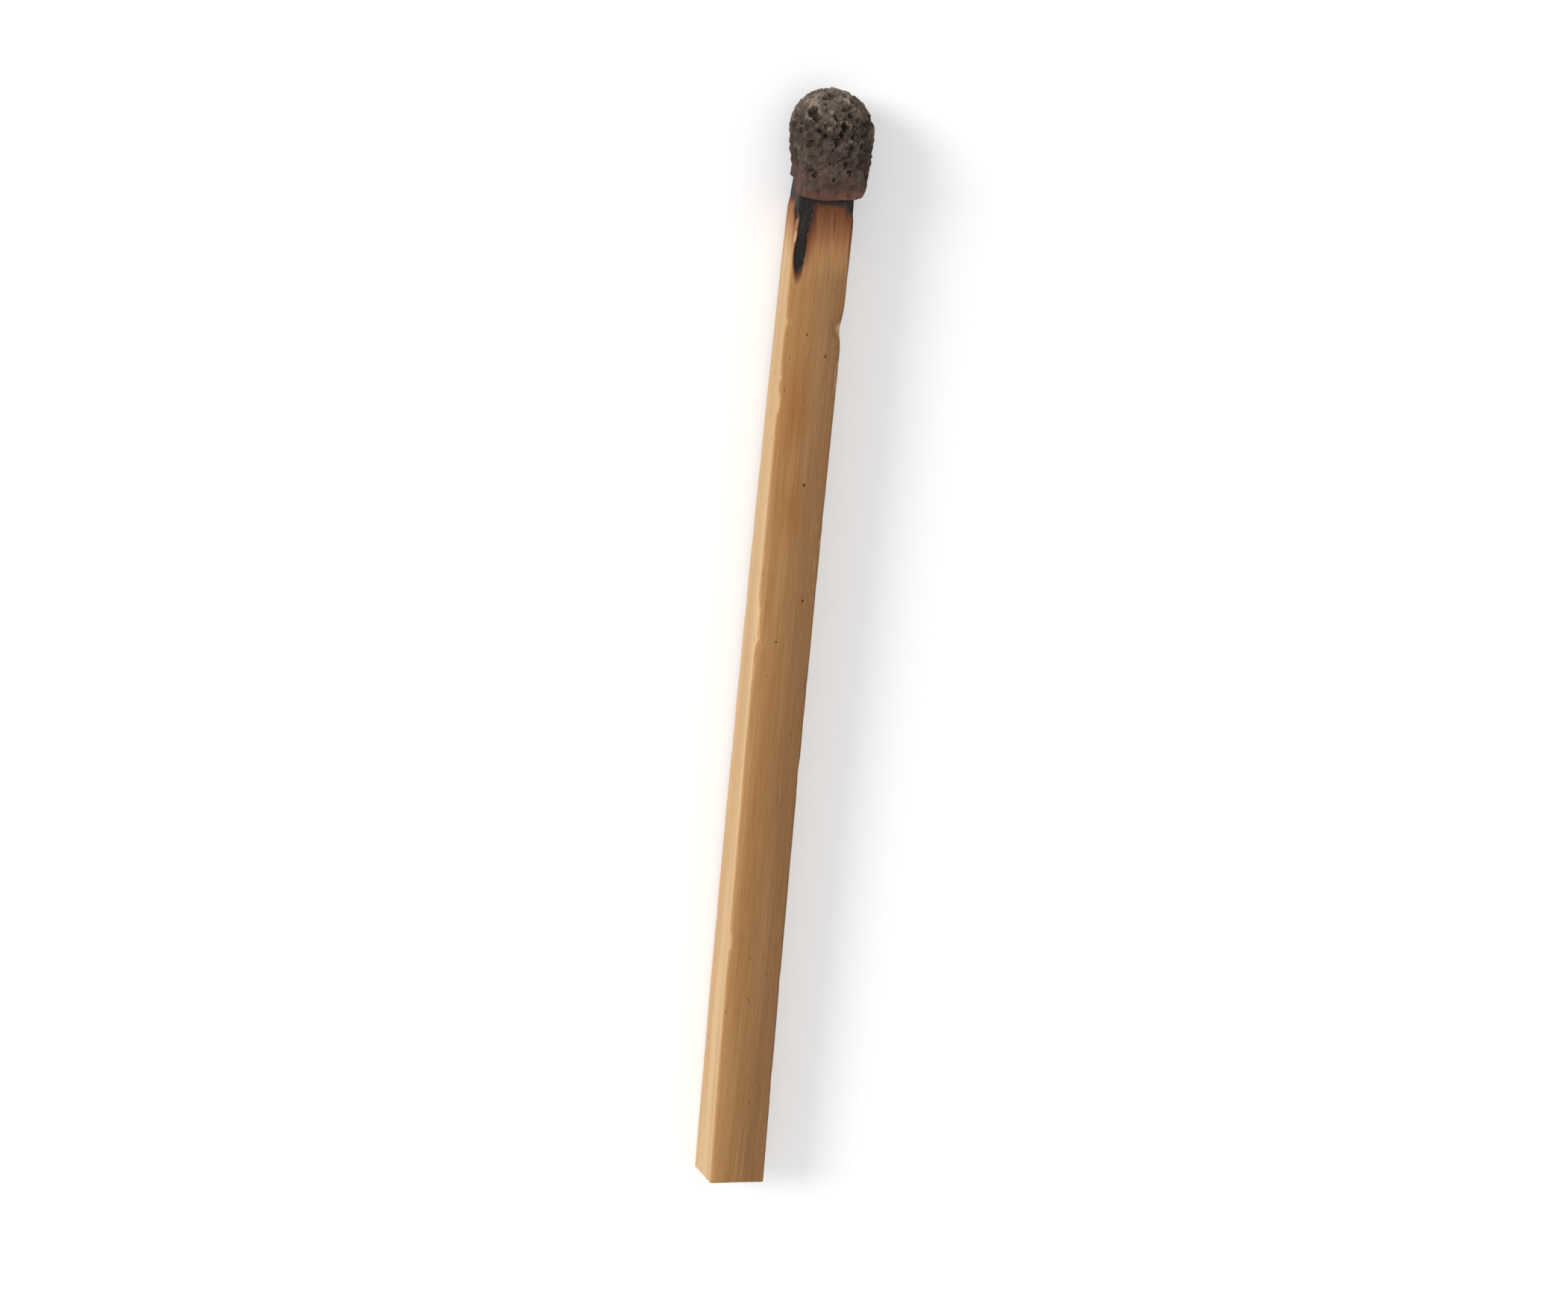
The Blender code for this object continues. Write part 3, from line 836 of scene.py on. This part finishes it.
def crust_finish():
    crust = Finish("spent_slag")
    clouds = crust.noise(CLOUDS, 3.0)
    mottle = crust.noise(MOTTLE, 4.0, 0.6)
    grit = crust.noise(GRIT, 3.0, 0.6)
    flecks = crust.noise(PALE_FLECKS, 1.0)
    pore = crust.mark("pore")
    raised = crust.mark("raised")
    up_head = crust.mark("up_head")
    ruddy = crust.mark("ruddy")

    body = crust.blend(crust.step(clouds, 0.35, 0.65), srgb(80, 68, 60), srgb(98, 84, 75))
    body = crust.blend(crust.step(mottle, 0.40, 0.68), srgb(66, 54, 47), body)
    low = 1 - crust.step(up_head, 0.10, 0.50)
    body = crust.blend(low * (0.45 + 0.25 * ruddy), body, srgb(77, 57, 51))
    rim = 1 - crust.step(up_head + 0.10 * mottle, 0.08, 0.17)
    body = crust.blend(rim * (0.10 + 0.72 * ruddy), body, srgb(116, 75, 63))
    # Painted highlight: the top of the head is painted paler, as the light that falls on it
    painted_lit_top = crust.step(up_head + 0.10 * clouds, 0.76, 0.98)
    body = crust.blend(painted_lit_top * 0.50, body, srgb(120, 107, 95))
    # Pale ash and painted highlight on the raised ridges, stronger towards the top of the head
    ash_and_highlight_toward_top = 0.15 + 0.85 * crust.step(up_head, 0.45, 0.90)
    ash_and_ridge_highlight = crust.step(raised, 0.45, 0.85) * ash_and_highlight_toward_top
    body = crust.blend(ash_and_ridge_highlight * 0.60, body, srgb(158, 143, 127))
    body = crust.dim(body, 0.80 + 0.40 * grit)
    # Painted shade: pores and burst bubbles are painted darker the deeper they sink
    body = crust.blend(crust.step(pore, 0.25, 1.0) * 0.74, body, srgb(48, 38, 31))
    body = crust.blend(crust.step(flecks, 0.72, 0.78) * 0.5, body, srgb(140, 128, 112))
    crust.set(
        Base_Color=body,
        Roughness=0.80 + 0.20 * mottle,
        Specular_IOR_Level=0.15,
        Normal=crust.relief(grit + 0.6 * mottle, GRIT_RELIEF, 0.9),
    )
    return crust.material


def floor_finish():
    paper = Finish("pale_floor")
    seen = paper.node("ShaderNodeLightPath", output="Is Camera Ray")
    paper.set(
        Base_Color=(0.93, 0.93, 0.94),
        Roughness=0.9,
        Emission_Color=paper.blend(seen, (0.0, 0.0, 0.0), (1.0, 1.0, 1.0)),
        Emission_Strength=0.20,
    )
    return paper.material


def add_floor():
    mesh = bpy.data.meshes.new("floor")
    half = 1.5
    corners = [(-half, -half, 0), (half, -half, 0), (half, half, 0), (-half, half, 0)]
    mesh.from_pydata(corners, [], [(0, 1, 2, 3)])
    mesh.materials.append(floor_finish())
    floor = bpy.data.objects.new("floor", mesh)
    bpy.context.scene.collection.objects.link(floor)
    floor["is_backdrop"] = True


def add_sun(name, towards, strength, softness):
    lamp = bpy.data.lights.new(name, "SUN")
    lamp.energy = strength
    lamp.angle = math.radians(softness)
    made = bpy.data.objects.new(name, lamp)
    made.rotation_euler = (-Vector(towards)).to_track_quat("-Z", "Y").to_euler()
    bpy.context.scene.collection.objects.link(made)


def light_studio():
    """Even light from all round, which looks white to the camera, and one soft key light."""
    world = bpy.data.worlds.new("studio")
    bpy.context.scene.world = world
    world.use_nodes = True
    nodes, links = world.node_tree.nodes, world.node_tree.links
    backdrop = nodes["Background"]
    seen = nodes.new("ShaderNodeLightPath")
    level = nodes.new("ShaderNodeMapRange")
    level.inputs["To Min"].default_value = 0.64
    level.inputs["To Max"].default_value = 1.0
    links.new(seen.outputs["Is Camera Ray"], level.inputs["Value"])
    links.new(level.outputs["Result"], backdrop.inputs["Color"])
    backdrop.inputs["Strength"].default_value = 1.0
    add_sun("key_light", (0.25, 0.88, 0.46), 2.1, 25)


def place_camera():
    """Looks down on the match from a little above its head and from its +Y side, head uppermost."""
    towards_head, round_axis, leans, distance = 12.0, 20.0, 5.3, 0.172
    low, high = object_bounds()
    middle = (low + high) / 2
    lens = bpy.data.cameras.new("camera")
    lens.lens = 100
    lens.clip_start = 0.005
    lens.clip_end = 10
    tilt = math.radians(towards_head)
    turn = math.radians(round_axis)
    level = math.cos(tilt)
    away = Vector((math.sin(tilt), level * math.sin(turn), level * math.cos(turn)))
    sideways = Vector((1, 0, 0)).cross(away).normalized()
    upwards = away.cross(sideways)
    facing = Matrix((sideways, upwards, away)).transposed()
    camera = bpy.data.objects.new("camera", lens)
    camera.rotation_euler = (facing @ Matrix.Rotation(math.radians(leans), 3, "Z")).to_euler()
    camera.location = middle + away * distance
    bpy.context.scene.collection.objects.link(camera)
    bpy.context.scene.camera = camera


def dress(piece, node, material):
    piece.data.materials.append(material)
    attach(piece, "root")
    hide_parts(node)


bpy.context.scene.view_settings.view_transform = "Standard"
dress(build_splint(), "splint", wood_finish())
dress(build_head(), "spent_head", crust_finish())
add_floor()
light_studio()
place_camera()
